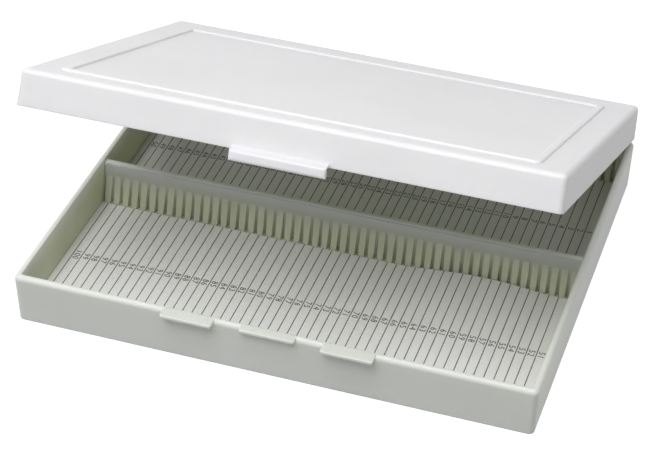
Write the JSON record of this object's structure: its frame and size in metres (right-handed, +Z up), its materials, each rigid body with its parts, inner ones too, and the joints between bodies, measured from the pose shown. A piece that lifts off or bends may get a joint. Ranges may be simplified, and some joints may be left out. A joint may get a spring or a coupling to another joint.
{
  "type": "microscope slide storage box",
  "caption": "Flat white plastic slide box with two bays of ribbed slots, numbered index sheets and a hinged snap lid.",
  "frame": {"origin": "centre of the tray's underside", "axes": "+X to the right, +Y to the hinged rear, +Z up"},
  "size_m": [0.2078, 0.1804, 0.1037],
  "materials": {
    "tray_plastic": "satin moulded plastic, off-white, a little translucent",
    "lid_plastic": "satin moulded plastic, white",
    "index_card": "printed card with thin dark lines and numbers",
    "pin_steel": "drawn steel"
  },
  "bodies": {
    "tray": {"base_tray": "tray_plastic", "divider": "tray_plastic", "front_slot_comb": "tray_plastic", "rear_slot_comb": "tray_plastic", "divider_front_comb": "tray_plastic", "divider_rear_comb": "tray_plastic", "front_index_sheet": "index_card", "rear_index_sheet": "index_card", "hinge_pin_left": "pin_steel", "hinge_pin_right": "pin_steel"},
    "lid": {"lid": "lid_plastic"}
  },
  "joints": [
    {"name": "lid_hinge", "type": "hinge", "parent": "tray", "child": "lid", "pos_m": [0, 0.0887, 0.0234], "axis": [-1, 0, 0], "range_deg": [-23.7, 156]}
  ]
}
